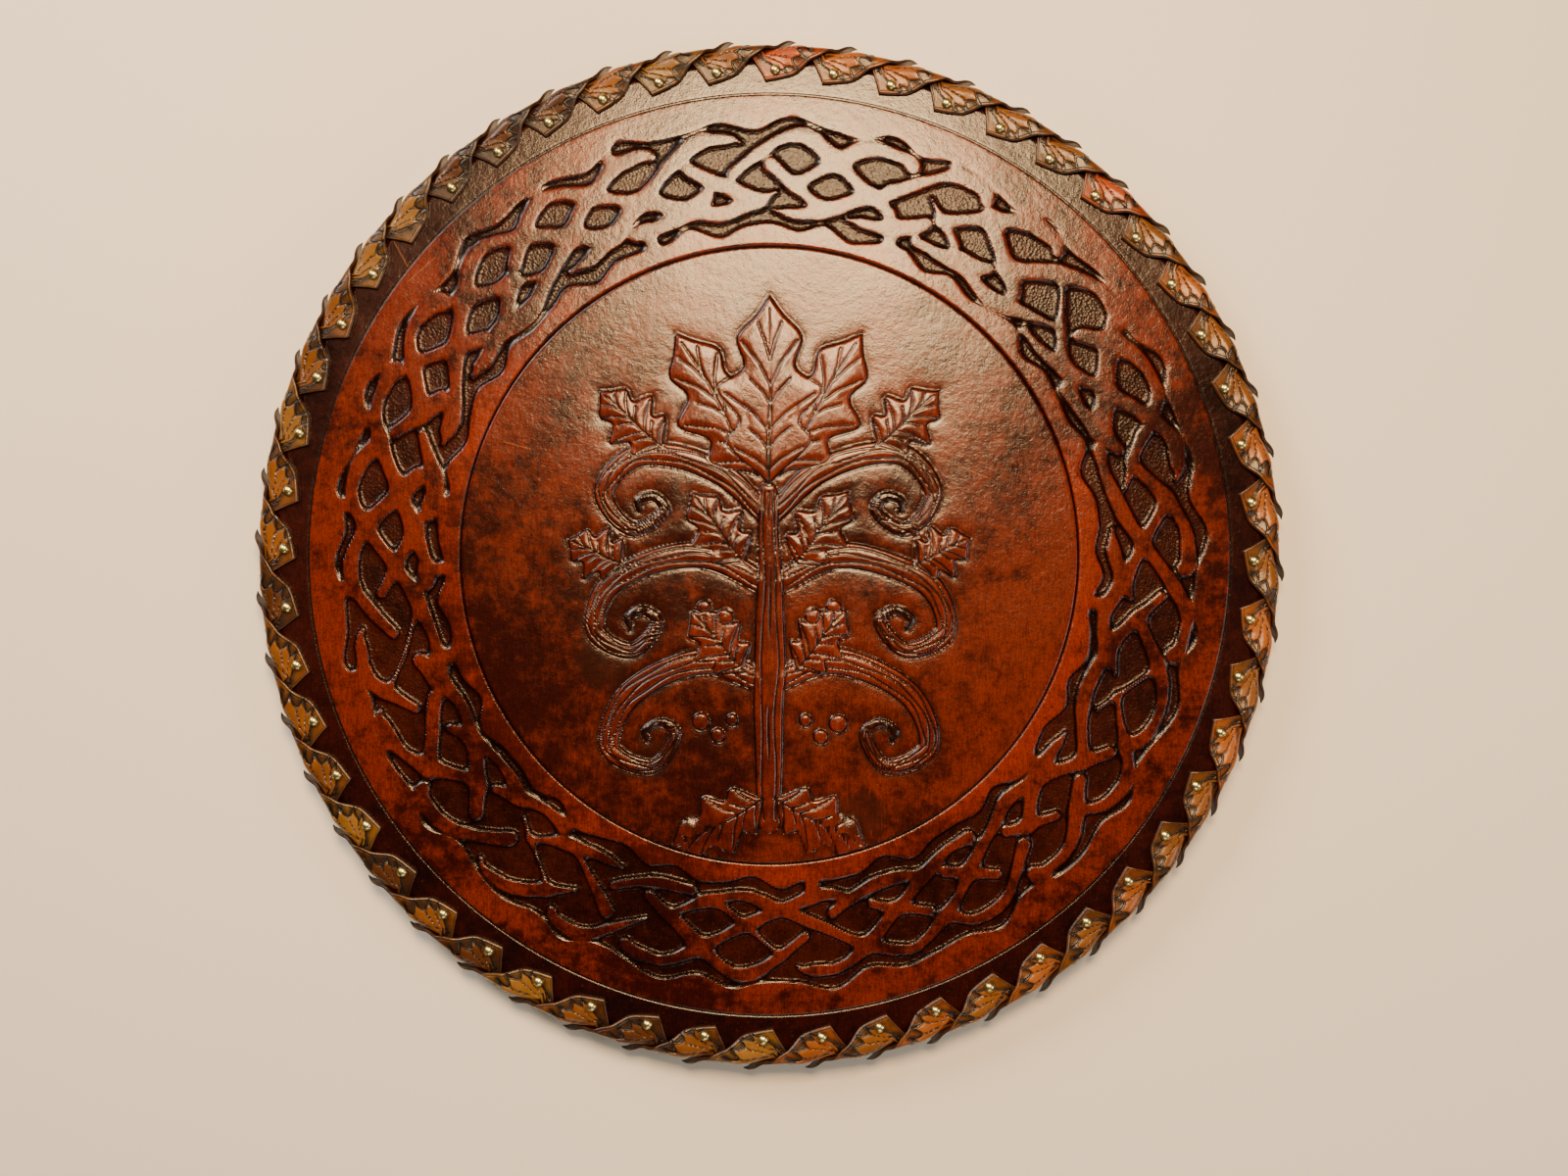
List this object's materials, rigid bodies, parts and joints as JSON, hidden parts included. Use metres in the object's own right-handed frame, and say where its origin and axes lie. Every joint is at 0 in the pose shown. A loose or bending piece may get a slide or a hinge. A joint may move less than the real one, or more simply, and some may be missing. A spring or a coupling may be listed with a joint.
{
  "type": "wooden round shield",
  "caption": "Round wooden shield faced with tooled leather: knotwork ring, leafy tree, and an edge of overlapping nailed leather scales.",
  "frame": {"origin": "middle of the underside, on the surface the shield lies on", "axes": "+Z out of the face, +Y to the top of the face, +X to its right"},
  "size_m": [0.6098, 0.6098, 0.0313],
  "materials": {
    "wood": "oiled boards, plain back",
    "red_leather": "tooled, dyed red-brown, half gloss",
    "tan_leather": "tooled, dyed tan to dark brown, half gloss",
    "dark_leather": "plain, dark brown, satin",
    "brass": "pale, worn bright"
  },
  "bodies": {
    "root": {"board": "wood", "leather_facing": "red_leather", "edge_scale_01": "tan_leather", "edge_scale_02": "tan_leather", "edge_scale_03": "tan_leather", "edge_scale_04": "tan_leather", "edge_scale_05": "tan_leather", "edge_scale_06": "tan_leather", "edge_scale_07": "tan_leather", "edge_scale_08": "tan_leather", "edge_scale_09": "tan_leather", "edge_scale_10": "tan_leather", "edge_scale_11": "tan_leather", "edge_scale_12": "tan_leather", "edge_scale_13": "tan_leather", "edge_scale_14": "tan_leather", "edge_scale_15": "tan_leather", "edge_scale_16": "tan_leather", "edge_scale_17": "tan_leather", "edge_scale_18": "tan_leather", "edge_scale_19": "tan_leather", "edge_scale_20": "tan_leather", "edge_scale_21": "tan_leather", "edge_scale_22": "tan_leather", "edge_scale_23": "tan_leather", "edge_scale_24": "tan_leather", "edge_scale_25": "tan_leather", "edge_scale_26": "tan_leather", "edge_scale_27": "tan_leather", "edge_scale_28": "tan_leather", "edge_scale_29": "tan_leather", "edge_scale_30": "tan_leather", "edge_scale_31": "tan_leather", "edge_scale_32": "tan_leather", "edge_scale_33": "tan_leather", "edge_scale_34": "tan_leather", "edge_scale_35": "tan_leather", "edge_scale_36": "tan_leather", "edge_scale_37": "tan_leather", "edge_scale_38": "tan_leather", "edge_scale_39": "tan_leather", "edge_scale_40": "tan_leather", "edge_scale_41": "tan_leather", "edge_scale_42": "tan_leather", "edge_scale_43": "tan_leather", "edge_scale_44": "tan_leather", "edge_scale_45": "tan_leather", "edge_scale_46": "tan_leather", "edge_scale_47": "tan_leather", "edge_scale_48": "tan_leather", "edge_scale_49": "tan_leather", "edge_scale_50": "tan_leather", "edge_scale_51": "tan_leather", "edge_scale_52": "tan_leather", "arm_strap": "dark_leather", "hand_strap": "dark_leather"}
  },
  "joints": []
}
